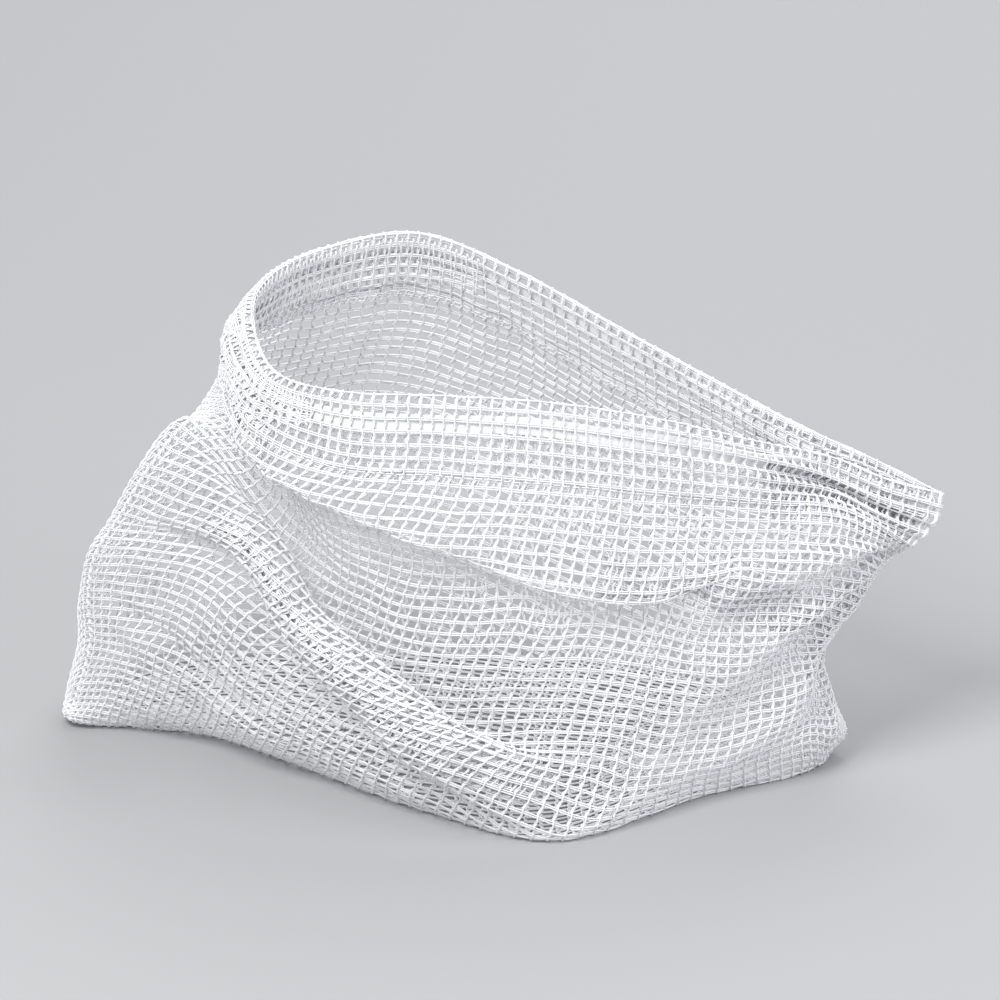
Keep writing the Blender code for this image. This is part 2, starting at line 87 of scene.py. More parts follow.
# ---- the slumped shape: u, then (v, x, y, z) down the cloth ------------------
COLUMNS = [
    (0, ((0, 144.6, -6.5, 89.2), (8, 143.4, -6, 82.5), (14, 140.6, -5, 77.5), (28, 132, -2, 68.5), (44, 125.5, 8, 61), (62, 118.5, 9.5, 49),
         (88, 109.5, 2, 39), (112, 103, -4, 26), (128, 109, -10, 15.5), (140, 112, -12, 6.5), (150, 106, -11, 0.6), (200, 94, -12, 0.6),
         (240, 82, -12, 0.6))),
    (18, ((0, 125.5, -7, 95), (8, 124.7, -7, 89), (14, 124, -7, 84.5), (28, 124, -10, 77), (46, 120.5, -10, 68), (64, 113, -12, 55.5),
         (95, 104, -16, 40), (118, 105, -20, 25), (134, 108, -24, 12), (146, 105, -21, 0.6), (195, 90, -21, 0.6), (240, 74, -13, 0.6))),
    (36, ((0, 110, -7, 102), (8, 109.4, -7.1, 96), (14, 109, -7.4, 91.5), (28, 112.5, -16, 85), (46, 111, -24, 74), (64, 105.5, -28, 61),
         (95, 99, -30, 44), (118, 100.5, -32, 27), (140, 99, -35, 12.5), (152, 97, -31, 0.6), (195, 80, -27, 0.6), (240, 66, -14.5, 0.6))),
    (72, ((0, 81, -24, 116.5), (28, 83, -33, 95), (50, 81, -43, 79.5), (66, 78, -47, 67.5), (90, 73.5, -50, 48.5), (115, 69.5, -54, 29),
         (134, 66, -57, 12.5), (148, 64, -51, 0.6), (240, 46, -18, 0.6))),
    (108, ((0, 49, -40, 130.5), (28, 49, -49, 104), (46, 47.5, -58, 89), (62, 44, -66, 75), (72, 44, -57, 77), (82, 41, -62, 66.5),
         (111, 31.5, -70, 42.5), (140, 24.5, -80, 20), (158, 18.5, -90, 3.5), (167, 17, -88, 0.6), (240, 19, -21, 0.6))),
    (144, ((0, 15, -49, 139.5), (28, 14, -59, 111.5), (44, 11, -69, 98.5), (60, 7.5, -78, 86.5), (69.6, 5, -68, 86), (77.4, 4.5, -70, 78),
         (100, -3.5, -74, 55.5), (113.6, -8.5, -72, 42), (122.3, -11, -72, 33), (135, -8.6, -85, 36), (144.1, -17, -89, 33),
         (156.5, -25.7, -86, 23.5), (167.2, -25, -76, 18), (176.8, -28, -72, 9), (189, -28, -62, 0.6), (240, -14, -13, 0.6))),
    (180, ((0, -20, -53, 143.5), (28, -22.5, -62, 116), (47.6, -31.5, -73, 100.5), (54.7, -29, -66, 99), (64.4, -27, -64, 89), (81.8, -31, -62, 71),
         (96.3, -34.5, -60, 56), (107.4, -38, -57, 45), (121.1, -36, -70, 51.5), (130.4, -43.5, -76, 49), (141, -51.5, -72, 42),
         (152.8, -50, -61, 36), (163.1, -57, -58, 28), (186.6, -64, -42, 10), (204, -66, -26, 0.6), (240, -47, 5, 0.6))),
    (216, ((0, -54, -49, 143.5), (28, -58, -57, 117.5), (37.9, -65.5, -60, 111), (49.4, -60, -52, 104), (66.9, -56, -44, 88), (81.9, -57.5, -37, 74),
         (96.7, -64, -36, 60), (112.3, -62, -50, 68), (120.5, -68, -56, 66.5), (128.8, -74, -53, 61), (139.7, -72, -43, 56), (149.3, -80, -42, 50),
         (169, -87, -35, 32), (194.7, -93, -18, 12), (216, -95, 1, 0.6), (240, -80, 20, 0.6))),
    (252, ((0, -77, -28, 142.5), (28, -84.5, -33, 121), (32.3, -86, -34, 117), (46.5, -80, -22, 112), (62, -74, -14, 100), (75, -72, -14, 87),
         (83, -76, -15, 80), (102, -81.5, -30, 90.5), (110.3, -87, -36, 88.5), (118.4, -92.7, -34, 83), (128.2, -91, -25, 79), (138.8, -99, -25, 72),
         (163.4, -109, -19, 50), (191.2, -117, -9, 25), (211.9, -122, 2, 8), (222, -123, 9, 0.6), (240, -111, 22, 0.6))),
    (288, ((0, -84.5, 5, 149), (14, -91.5, 5, 141), (28, -91.5, 5, 128.5), (36, -92.5, 4, 121.5), (52, -85, 8, 119), (72, -97, 6, 111),
         (82, -104.5, 8, 110.5), (98, -116.5, 6, 97.5), (120, -127.5, 10, 76), (138, -135.5, 12, 62), (160, -138.5, 14, 44), (180, -137.5, 14, 29.5),
         (206, -143, 13, 9), (226, -144.5, 11, 2.5), (240, -134, 19, 0.6))),
    (324, ((0, -80.5, 33, 151.5), (28, -88, 36, 127), (60, -100, 42, 104), (100, -118, 46, 76), (140, -132, 44, 44), (170, -140, 38, 16),
         (188, -138, 34, 0.6), (212, -128, 37, 0.6), (240, -111, 22, 0.6))),
    (360, ((0, -62, 55, 153.5), (28, -67, 62, 127.5), (60, -76, 72, 98), (100, -92, 80, 66), (140, -104, 80, 32), (168, -106, 72, 5),
         (178, -103, 66, 0.6), (240, -80, 20, 0.6))),
    (396, ((0, -29, 66, 155), (28, -31, 74, 129), (60, -36, 84, 100), (100, -46, 90, 64), (138, -54, 86, 28), (162, -55, 76, 4), (170, -54, 70, 0.6),
         (240, -47, 5, 0.6))),
    (432, ((0, 4.5, 64, 142), (28, 5, 72, 116), (60, 3, 82, 88), (100, -2, 88, 50), (132, -6, 82, 18), (150, -8, 73, 0.6), (240, -14, -13, 0.6))),
    (468, ((0, 38.5, 53, 126), (28, 39, 60, 100), (60, 38, 70, 72), (100, 36, 76, 34), (130, 33, 70, 6), (138, 32, 65, 0.6), (240, 19, -21, 0.6))),
    (504, ((0, 72.5, 30, 115), (28, 72, 38, 90), (60, 70, 50, 60), (100, 70, 56, 26), (125, 68, 52, 4), (132, 66, 48, 0.6), (240, 46, -18, 0.6))),
    (540, ((0, 106, 3, 107), (8, 105.4, 3.2, 101), (14, 105, 3.6, 96.5), (28, 105, 13, 85.5), (50, 102, 25, 66), (75, 95, 29, 46), (100, 93, 27, 26),
         (122, 96, 20, 8), (134, 94, 15, 0.6), (190, 80, 7, 0.6), (240, 66, -14.5, 0.6))),
    (558, ((0, 124.5, 3, 97.8), (8, 123.7, 3, 92), (14, 123, 3, 87.6), (28, 121, 7, 79), (46, 116, 15, 66), (64, 109, 18, 52), (95, 100.5, 14, 32),
         (118, 102, 7, 16), (134, 104, 1, 5), (146, 101, -1, 0.6), (195, 88, -1, 0.6), (240, 74, -13, 0.6))),
    (576, ((0, 144.6, 0.5, 88), (8, 143.4, 0.8, 82), (14, 140.6, 1.5, 77.4), (28, 131.6, 4, 68.5), (44, 125.5, 8, 61), (62, 118.5, 9.5, 49),
         (88, 109.5, 2, 39), (112, 103, -4, 26), (128, 109, -10, 15.5), (140, 112, -12, 6.5), (150, 106, -11, 0.6), (200, 94, -12, 0.6),
         (240, 82, -12, 0.6))),
]

# the v at which each column meets the crest and the foot of the diagonal fold,
# and the table: (u, crest, foot, table)
LANDMARKS = [
    (0, 93.3, 108.9, 150), (18, 91.1, 106.2, 146), (36, 94.3, 110.2, 152), (72, 92.2, 107.5, 148),
    (108, 138, 153, 167), (144, 135, 156.5, 189), (180, 121.1, 141, 204), (216, 112.3, 128.8, 216),
    (252, 102, 118.4, 222), (288, 96, 118, 226), (324, 113.6, 134, 188), (360, 108.2, 127.4, 178),
    (396, 104, 122.1, 170), (432, 93.3, 108.9, 150), (468, 86.8, 100.9, 138), (504, 83.6, 96.9, 132),
    (540, 84.7, 98.3, 134), (558, 91.1, 106.2, 146), (576, 93.3, 108.9, 150),
]


def smooth_line(knots, points, places):
    """A smooth curve through the points, read at the places asked for."""
    t = np.asarray(knots, float)
    p = np.asarray(points, float)
    q = np.asarray(places, float)
    h = np.diff(t)
    d = np.diff(p, axis=0) / h[:, None]
    m = np.empty_like(p)
    m[0], m[-1] = d[0], d[-1]
    m[1:-1] = (h[1:, None] * d[:-1] + h[:-1, None] * d[1:]) / (h[1:] + h[:-1])[:, None]
    k = np.clip(np.searchsorted(t, q, side="right") - 1, 0, len(h) - 1)
    s = ((q - t[k]) / h[k])[:, None]
    hk = h[k][:, None]
    return (
        (1 + 2 * s) * (1 - s) ** 2 * p[k]
        + s * (1 - s) ** 2 * hk * m[k]
        + s * s * (3 - 2 * s) * p[k + 1]
        + s * s * (s - 1) * hk * m[k + 1]
    )


def unit(vectors):
    return vectors / np.maximum(np.linalg.norm(vectors, axis=-1, keepdims=True), 1e-9)


def ramp(x, a, b):
    """0 before a, 1 after b, and smooth between them."""
    t = np.clip((np.asarray(x, float) - a) / (b - a), 0, 1)
    return t * t * (3 - 2 * t)


def bump(x, a, b, c, d):
    return ramp(x, a, b) * (1 - ramp(x, c, d))


# ---- the surface, read every millimetre of cloth -----------------------------
US = np.arange(0.0, 2 * FLAT_WIDTH + 0.5, 1.0)
VS = np.arange(0.0, FLAT_DEPTH + 0.5, 1.0)
WS = np.arange(0.0, FLAT_DEPTH + 0.25, 0.5)          # v with the landmarks lined up
KNOTS = np.array([0.0, 28.0, 120.0, 142.0, 200.0, 240.0])
knots_v = np.array([(0.0, 28.0, crest, foot, table, 240.0) for _, crest, foot, table in LANDMARKS])
lined_up = np.array(
    [
        smooth_line([r[0] for r in column], [r[1:] for r in column], np.interp(WS, KNOTS, v))
        for (_, column), v in zip(COLUMNS, knots_v)
    ]
)
columns_u = [u for u, _ in COLUMNS]
lined_up = smooth_line(columns_u, lined_up.reshape(len(COLUMNS), -1), US).reshape(len(US), len(WS), 3)
knots_v = smooth_line(columns_u, knots_v, US)
SURFACE = np.empty((len(US), len(VS), 3))
for k in range(len(US)):
    w = np.interp(VS, knots_v[k], KNOTS)
    for axis in range(3):
        SURFACE[k, :, axis] = np.interp(w, WS, lined_up[k, :, axis])
SURFACE[..., 2] = np.maximum(SURFACE[..., 2], TABLE)


def normals_of(surface):
    n = np.cross(np.gradient(surface, axis=0), np.gradient(surface, axis=1))
    return unit(n)


def soften(field, times, keep_ends=True):
    """Evens out a field of vectors or numbers over the cloth."""
    for _ in range(times):
        inner = field.copy()
        inner[1:-1] = (field[:-2] + 2 * field[1:-1] + field[2:]) / 4
        inner[:, 1:-1] = (inner[:, :-2] + 2 * inner[:, 1:-1] + inner[:, 2:]) / 4
        field = inner
    return field


U, V = np.meshgrid(US, VS, indexing="ij")
BASE_NORMALS = unit(soften(normals_of(SURFACE), 6))

# folds that the shape carries between the cage's lines
waves = np.zeros_like(U)
# drawn towards the right corner of the hem, on the front
turn = np.arctan2(V - 24.0, U + 14.0)
reach = np.hypot(V - 24.0, U + 14.0)
front_right = bump(U, -1, 14, 66, 104) * bump(V, 30, 44, 112, 140)
spokes = np.sin(turn * 19.0 + 0.012 * reach)
waves += 2.5 * front_right * np.sign(spokes) * np.abs(spokes) ** 0.8 * ramp(reach, 14, 40)
back_right = bump(576 - U, -1, 12, 60, 96) * bump(V, 30, 44, 100, 130)
turn_back = np.arctan2(V - 24.0, 590.0 - U)
waves += 1.3 * back_right * np.sin(turn_back * 17.0 + 0.6)
# along the right of the hem, where the drawn tape crowds it
hem_right = (1 - ramp(U, 70, 150)) * bump(V, 1, 5, 24, 28) + ramp(U, 470, 520) * bump(V, 1, 5, 24, 28)
waves += 0.5 * hem_right * np.sin(2 * math.pi * V / 8.5 + U / 23.0)
# a crease low on the left lobe, drawn towards the bottom corner
crease = np.interp(U, [195, 204, 231, 244, 257, 269, 282], [175, 175, 175.5, 174, 170, 165, 158])
low_left = bump(U, 190, 212, 262, 282)
waves += low_left * (1.1 * np.exp(-(((V - crease - 9.0) / 5.0) ** 2)) - 2.4 * np.exp(-(((V - crease) / 3.6) ** 2)))
# the outer layer alone also puffs out there, and at the left end of the mouth
PUFF = (1 - ramp(U, 30, 120)) * bump(V, 2, 6, 22, 28) * 1.9 * np.sin(math.pi * (V / 6.6 + 0.21 + (U - 40.0) / 150.0)) ** 2
PUFF += bump(U, 225, 262, 300, 335) * bump(V, 1, 5, 30, 44) * 1.5 * np.sin(math.pi * (V / 7.0 + U / 31.0)) ** 2
# puckers across the hem's stitching
pucker = bump(V, 8, 24, 30, 52) * bump(U, 70, 120, 480, 540)
waves += 0.45 * pucker * (
    np.sin(U / 3.1 + 1.4 * np.sin(U / 29.0)) + 0.6 * np.sin(U / 5.3 + 2.0)
)
# slack netting everywhere else
calm = ramp(V, 6, 40) * np.minimum(ramp(U, 2, 20), 1 - ramp(U, 556, 574)) * (0.35 + 0.65 * np.minimum(1, np.abs(U - 288) / 24.0))
waves += calm * (
    0.55 * np.sin(U / 8.7 + V / 21.0 + 0.9) * np.sin(V / 13.0 - U / 33.0)
    + 0.45 * np.sin(U / 15.0 - V / 9.5 + 2.1)
    + 0.35 * np.sin(U / 5.9 + V / 6.7) * np.sin(V / 27.0 + U / 19.0)
)
waves *= ramp(SURFACE[..., 2], 0.6, 8.0)
SURFACE = SURFACE + BASE_NORMALS * (waves + PUFF)[..., None]
SURFACE[..., 2] = np.maximum(SURFACE[..., 2], TABLE)
NORMALS = unit(soften(normals_of(SURFACE), 2))
DOWN = unit(np.gradient(SURFACE, axis=1))
ALONG = unit(np.gradient(SURFACE, axis=0))


def read(field, a, b):
    """A field of vectors read between its millimetres."""
    a, b = np.clip(a, 0, len(US) - 1.001), np.clip(b, 0, len(VS) - 1.001)
    i, j = a.astype(int), b.astype(int)
    s, t = (a - i)[..., None], (b - j)[..., None]
    return (
        field[i, j] * (1 - s) * (1 - t)
        + field[i + 1, j] * s * (1 - t)
        + field[i, j + 1] * (1 - s) * t
        + field[i + 1, j + 1] * s * t
    )


# ---- the lattice: slid along the surface until its meshes are even ------------
ku, kv = np.meshgrid(np.arange(COLS + 1) * PITCH, np.arange(ROWS + 1) * PITCH, indexing="ij")
LA, LB = ku.copy(), kv.copy()
FREE_V = 10.0 * ramp(kv, 28, 60) * (1 - ramp(kv, 222, 240))
FREE_U = 7.0 * ramp(kv, 4, 40) * (1 - ramp(kv, 222, 240))
FREE_U[0] = FREE_U[-1] = FREE_U[COLS // 2] = 0.0


def settle(steps):
    global LA, LB
    for step in range(steps):
        p = read(SURFACE, LA, LB)
        move, count = np.zeros_like(p), np.zeros(p.shape[:2])
        for axis in (0, 1):
            d = np.diff(p, axis=axis)
            long = np.linalg.norm(d, axis=-1, keepdims=True)
            pull = d * (1 - PITCH / np.maximum(long, 0.3)) * 0.5
            pull = np.where(long < PITCH, pull * 0.6, pull)
            if axis == 0:
                move[:-1] += pull
                move[1:] -= pull
                count[:-1] += 1
                count[1:] += 1
            else:
                move[:, :-1] += pull
                move[:, 1:] -= pull
                count[:, :-1] += 1
                count[:, 1:] += 1
        move *= 0.8 / count[..., None]
        su = read(ALONG_MM, LA, LB)
        sv = read(DOWN_MM, LA, LB)
        guu, gvv, guv = (su * su).sum(-1) + 0.05, (sv * sv).sum(-1) + 0.05, (su * sv).sum(-1)
        bu, bv = (su * move).sum(-1), (sv * move).sum(-1)
        det = guu * gvv - guv * guv
        da, db = (gvv * bu - guv * bv) / det, (guu * bv - guv * bu) / det
        LA = np.clip(LA + np.clip(da, -0.5, 0.5), ku - FREE_U, ku + FREE_U)
        LB = np.clip(LB + np.clip(db, -0.5, 0.5), kv - FREE_V, kv + FREE_V)
        shared = (LB[0] + LB[-1]) / 2        # both sides of the right seam go together
        LB[0] = LB[-1] = np.where(kv[0] >= 32, shared, kv[0])
        if step % 5 == 4:                    # keep neighbouring rows and columns parallel
            LA = ku + soften(LA - ku, 1)
            LB = kv + soften(LB - kv, 1)


ALONG_MM = np.gradient(SURFACE, axis=0)
DOWN_MM = np.gradient(SURFACE, axis=1)
settle(240)

# small unevenness of hand-knitted net
rng = np.random.default_rng(11)
LA = LA + soften(rng.normal(0, 0.9, LA.shape), 2) * ramp(kv, 0, 12) * (FREE_U > 0)
LB = LB + soften(rng.normal(0, 0.9, LB.shape), 2) * ramp(kv, 28, 40) * (1 - ramp(kv, 228, 238))


def lattice_curve(values, places):
    """Rows of values at whole meshes, read smoothly between them."""
    last = values.shape[-1] - 1
    k = np.clip(np.floor(places).astype(int), 0, last - 1)
    t = places - k
    p0, p1 = values[..., np.maximum(k - 1, 0)], values[..., k]
    p2, p3 = values[..., k + 1], values[..., np.minimum(k + 2, last)]
    return 0.5 * (
        2 * p1 + (p2 - p0) * t + (2 * p0 - 5 * p1 + 4 * p2 - p3) * t**2 + (3 * p1 - p0 - 3 * p2 + p3) * t**3
    )


# ---- the hem: the same net folded over the top edge and down inside -----------
def casing_room(u):
    """Between the two layers of the hem, in mm: more where the loose tape runs."""
    return 2.7 + 1.1 * (1 - ramp(u, 40, 80)) + 1.1 * ramp(u, 500, 540)


def hem_place(u, s, v_of_s):
    """Position, normal and direction along the warp for places on the net, with
    s the distance down the cloth from the fold: below 0 it is the turned layer."""
    room = casing_room(u)
    radius = room / 2
    turned = s < 0
    depth = np.abs(s)
    angle = np.clip(s / 2.0, -1, 1) * math.pi / 2
    at_fold = depth < 2.0
    v = np.where(at_fold, radius * (1 - np.cos(angle)), v_of_s)
    off = np.where(at_fold, radius * (1 - np.sin(angle)), np.where(turned, room, 0.0))
    # the turned layer closes on the outer one at the stitching
    off = np.where(turned & ~at_fold, 1.45 + (room - 1.45) * (1 - ramp(depth, 17, 25)), off)
    off = off + np.where(turned, read(PUFF[..., None], u, v)[..., 0], 0.0)
    p, n, down = read(SURFACE, u, v), read(NORMALS, u, v), read(DOWN, u, v)
    n, down = unit(n), unit(down)
    p = p - n * off[..., None]
    sn, cs = np.sin(angle)[..., None], np.cos(angle)[..., None]
    normal = n * sn - down * cs
    along = down * sn + n * cs
    return p, unit(normal), unit(along)


def turned_skew(u, depth):
    """How far the turned layer has slipped round the bag against the outer one."""
    return (1.7 + 0.9 * np.sin(u / 41.0 + 0.5) + 0.6 * np.sin(u / 17.0)) * ramp(depth, 2, 12)


def turned_drop(u, depth):
    """How far the turned layer's rows hang below the outer ones."""
    return 0.35 * np.sin(u / 13.0) + 1.5 * ramp(depth, 2, 10) * (1 - ramp(depth, 19, 26))


def warp_places(columns, s):
    """u and v for warp chains: columns by distances s down the cloth."""
    columns = np.asarray(columns)
    outer = np.maximum(s, 0) / PITCH
    a = lattice_curve(LA[columns], outer)
    b = lattice_curve(LB[columns], outer)
    u0 = columns[:, None] * PITCH
    depth = np.abs(s)[None, :]
    a = np.where(s[None, :] < 0, u0 + turned_skew(u0, depth), a)
    b = np.where(s[None, :] < 0, depth + turned_drop(u0, depth), b)
    fold = casing_room(u0) / 2 - 2.0
    b = b + fold * (1 - ramp(depth, 2, 28))
    return a, b


def warp_line(columns, s):
    a, b = warp_places(columns, s)
    p, n, along = hem_place(a, np.broadcast_to(s, a.shape), b)
    return p, n, along


def weft_line(row, u):
    """One weft from u[0] to u[-1], row counted from the fold."""
    s = np.full_like(u, row * PITCH)
    if row >= 0:
        a = lattice_curve(LA[:, row][None], u / PITCH)[0]
        b = lattice_curve(LB[:, row][None], u / PITCH)[0]
    else:
        depth = -s
        a = u + turned_skew(u, depth)
        b = depth + turned_drop(u, depth)
    b = b + (casing_room(u) / 2 - 2.0) * (1 - ramp(np.abs(s), 2, 28))
    return hem_place(a, s, b)


# ---- building threads ---------------------------------------------------------
CORNERS = np.array([45.0, 135.0, 225.0, 315.0]) * math.pi / 180


class Threads:
    """Collects four-sided tubes, which shade as round threads, into one mesh."""

    def __init__(self):
        self.points, self.quads, self.lays, self.count = [], [], [], 0

    def add(self, line, normal, radius, flat=1.0, floor=True):
        """Tubes along line[threads, samples, 3], in mm."""
        line = np.atleast_3d(line) if line.ndim == 2 else line
        if line.ndim == 2:
            line = line[None]
        m, n = line.shape[:2]
        tangent = unit(np.gradient(line, axis=1))
        side = unit(np.cross(tangent, normal))
        up = unit(np.cross(side, tangent))
        r = np.broadcast_to(radius, (m, n))[..., None, None] * math.sqrt(1.18)
        ring = (
            side[:, :, None] * np.cos(CORNERS)[None, None, :, None]
            + up[:, :, None] * (np.sin(CORNERS) * flat)[None, None, :, None]
        )
        points = line[:, :, None] + ring * r
        if floor:
            points[..., 2] = np.maximum(points[..., 2], 0.03)
        first = self.count + (np.arange(m) * n * 4)[:, None, None]
        j = (np.arange(n - 1) * 4)[None, :, None]
        k = np.arange(4)[None, None, :]
        k2 = (k + 1) % 4
        quads = np.stack([first + j + k, first + j + k2, first + j + 4 + k2, first + j + 4 + k], -1)
        start = self.count + (np.arange(m) * n * 4)
        caps = np.concatenate([start[:, None] + [3, 2, 1, 0], start[:, None] + (n - 1) * 4 + [0, 1, 2, 3]])
        self.points.append(points.reshape(-1, 3))
        self.quads += [quads.reshape(-1, 4), caps]
        along = np.concatenate(
            [np.zeros((m, 1)), np.cumsum(np.linalg.norm(np.diff(line, axis=1), axis=2), axis=1)], axis=1
        )
        lay = np.zeros((m, n, 4, 3))
        lay[..., 0] = along[:, :, None]
        lay[..., 1], lay[..., 2] = np.cos(CORNERS), np.sin(CORNERS)
        self.lays.append(lay.reshape(-1, 3))
        self.count += m * n * 4
        return self

    def build(self, name, material):
        points, quads = np.concatenate(self.points), np.concatenate(self.quads)
        return make_mesh(name, points, quads, material, np.concatenate(self.lays))


def make_mesh(name, points, quads, material, lay=None):
    """A smooth-shaded mesh of quads, points in cage mm."""
    mesh = bpy.data.meshes.new(name)
    mesh.vertices.add(len(points))
    mesh.vertices.foreach_set("co", ((points + MIDDLE) * MM).astype(np.float32).ravel())
    mesh.loops.add(quads.size)
    mesh.loops.foreach_set("vertex_index", quads.astype(np.int32).ravel())
    mesh.polygons.add(len(quads))
    mesh.polygons.foreach_set("loop_start", np.arange(0, quads.size, 4, dtype=np.int32))
    mesh.update(calc_edges=True)
    mesh.validate()
    mesh.shade_smooth()
    if lay is not None:
        attribute = mesh.attributes.new("lay", "FLOAT_VECTOR", "POINT")
        attribute.data.foreach_set("vector", lay.astype(np.float32).ravel())
    made = bpy.data.objects.new(name, mesh)
    bpy.context.scene.collection.objects.link(made)
    mesh.materials.append(material)
    return made


# ---- materials -----------------------------------------------------------------
def cotton(name, dark, light, patch, fibre, rough, sheen, depth):
    """Cotton with soft colour patches, twisted fibres and a matt, sheeny surface.
    patch and fibre are the sizes of their noise in mm."""
    made = bpy.data.materials.new(name)
    made.use_nodes = True
    tree = made.node_tree
    nodes, links = tree.nodes, tree.links
    shader = nodes["Principled BSDF"]
    place = nodes.new("ShaderNodeTexCoord")

    def noise(size_mm, detail, roughness=0.55):
        made_noise = nodes.new("ShaderNodeTexNoise")
        made_noise.inputs["Scale"].default_value = 1000.0 / size_mm
        made_noise.inputs["Detail"].default_value = detail
        made_noise.inputs["Roughness"].default_value = roughness
        links.new(place.outputs["Object"], made_noise.inputs["Vector"])
        return made_noise

    def spread(source, low, high, to_low, to_high):
        made_range = nodes.new("ShaderNodeMapRange")
        made_range.inputs["From Min"].default_value = low
        made_range.inputs["From Max"].default_value = high
        made_range.inputs["To Min"].default_value = to_low
        made_range.inputs["To Max"].default_value = to_high
        links.new(source, made_range.inputs["Value"])
        return made_range.outputs["Result"]

    patches, fibres = noise(patch, 3.0), noise(fibre, 2.0)
    mix = nodes.new("ShaderNodeMix")
    mix.data_type = "RGBA"
    mix.inputs["A"].default_value = (*dark, 1)
    mix.inputs["B"].default_value = (*light, 1)
    both = nodes.new("ShaderNodeMath")
    both.operation = "ADD"
    links.new(spread(patches.outputs["Fac"], 0.3, 0.7, 0.0, 0.65), both.inputs[0])
    links.new(spread(fibres.outputs["Fac"], 0.25, 0.75, 0.0, 0.4), both.inputs[1])
    both.use_clamp = True
    links.new(both.outputs[0], mix.inputs["Factor"])
    links.new(mix.outputs["Result"], shader.inputs["Base Color"])
    links.new(spread(fibres.outputs["Fac"], 0.3, 0.7, rough + 0.06, rough - 0.08), shader.inputs["Roughness"])
    shader.inputs["Sheen Weight"].default_value = sheen
    shader.inputs["Sheen Roughness"].default_value = 0.45
    shader.inputs["Specular IOR Level"].default_value = 0.3

    # the lay of the fibres: fine lines that wind round each thread
    lay = nodes.new("ShaderNodeAttribute")
    lay.attribute_name = "lay"
    parts = nodes.new("ShaderNodeSeparateXYZ")
    links.new(lay.outputs["Vector"], parts.inputs[0])

    def math_node(kind, a, b=None):
        made_math = nodes.new("ShaderNodeMath")
        made_math.operation = kind
        for socket, value in zip(made_math.inputs, (a, b)):
            if value is None:
                continue
            if isinstance(value, float):
                socket.default_value = value
            else:
                links.new(value, socket)
        return made_math.outputs[0]

    turns = math_node("MULTIPLY", parts.outputs["X"], 2 * math.pi / 0.9)
    wound = math_node(
        "ADD",
        math_node("MULTIPLY", math_node("SINE", turns), parts.outputs["Y"]),
        math_node("MULTIPLY", math_node("COSINE", turns), parts.outputs["Z"]),
    )
    height = math_node("ADD", math_node("MULTIPLY", wound, 0.35), fibres.outputs["Fac"])
    relief = nodes.new("ShaderNodeBump")
    relief.inputs["Strength"].default_value = 0.55
    relief.inputs["Distance"].default_value = depth * MM
    links.new(height, relief.inputs["Height"])
    links.new(relief.outputs["Normal"], shader.inputs["Normal"])
    return made


NET = cotton("cotton_net_thread", (0.80, 0.81, 0.84), (0.93, 0.93, 0.94), 7.0, 0.35, 0.86, 0.25, 0.10)
TAPE = cotton("cotton_tape_weave", (0.84, 0.85, 0.87), (0.95, 0.95, 0.95), 5.0, 0.45, 0.82, 0.3, 0.12)
SEWING = cotton("sewing_thread_lustre", (0.88, 0.88, 0.90), (0.96, 0.96, 0.96), 4.0, 0.25, 0.62, 0.15, 0.06)

# ---- the net -------------------------------------------------------------------
PLY = 0.30                # half the width of one warp ply
PLY_SIDE, PLY_LIFT = 0.24, 0.42
SWAY = 0.36               # each warp steps to and fro once a mesh
WEFT = 0.28
WEFT_SIDE = 0.35
STRIPS = 3
SAMPLES = 4               # along a warp, for each mesh
S_WARP = np.arange(-HEM_ROWS * SAMPLES, ROWS * SAMPLES + 1) * (PITCH / SAMPLES)
S_WARP = S_WARP[(S_WARP >= -27.6)]
ROW_LIST = list(range(-HEM_ROWS + 1, ROWS))


def warp_plies(columns, s):
    p, n, along = warp_line(columns, s)
    side = unit(np.cross(along, n))
    phase = s / PITCH * math.pi
    sway = -SWAY * np.sin(2 * math.pi * s / PITCH)
    found = []
    for k in (1, -1):
        lateral = (sway + k * PLY_SIDE * np.sin(phase))[None, :, None]
        lift = (k * PLY_LIFT * np.cos(phase))[None, :, None]
        found.append(p + side * lateral + n * lift)
    return found, n


TURNED_FROM, TURNED_TO = 5.0, 2 * FLAT_WIDTH - 13.0   # the turned layer stops short of both ends


def strip(name, first, last, final):
    made = Threads()
    columns = np.arange(first, last + (1 if final else 0))
    columns = columns[(columns > 0) & (columns != COLS // 2) & (columns < COLS)]
    short = (columns * PITCH < TURNED_FROM) | (columns * PITCH > TURNED_TO)
    for group, s in ((columns[~short], S_WARP), (columns[short], S_WARP[S_WARP >= 0])):
        if len(group):
            plies, n = warp_plies(group, s)
            for ply in plies:
                made.add(ply, n, PLY)
    every = np.arange(first * PITCH, last * PITCH + 0.1, PITCH / 2)
    for row in ROW_LIST + [-6.4, -6.75]:
        u = every if row >= 0 else every[(every > TURNED_FROM - 0.5) & (every < TURNED_TO + 0.5)]
        p, n, along = weft_line(row, u)
        twist = 0.35 * np.sin(u / PITCH * math.pi * 0.5 + row * 1.7)
        for k in (1, -1):
            q = p + along * (k * WEFT_SIDE * np.cos(twist))[:, None] + n * (k * WEFT_SIDE * np.sin(twist))[:, None]
            made.add(q[None], n[None], WEFT)
    return made.build(name, NET)


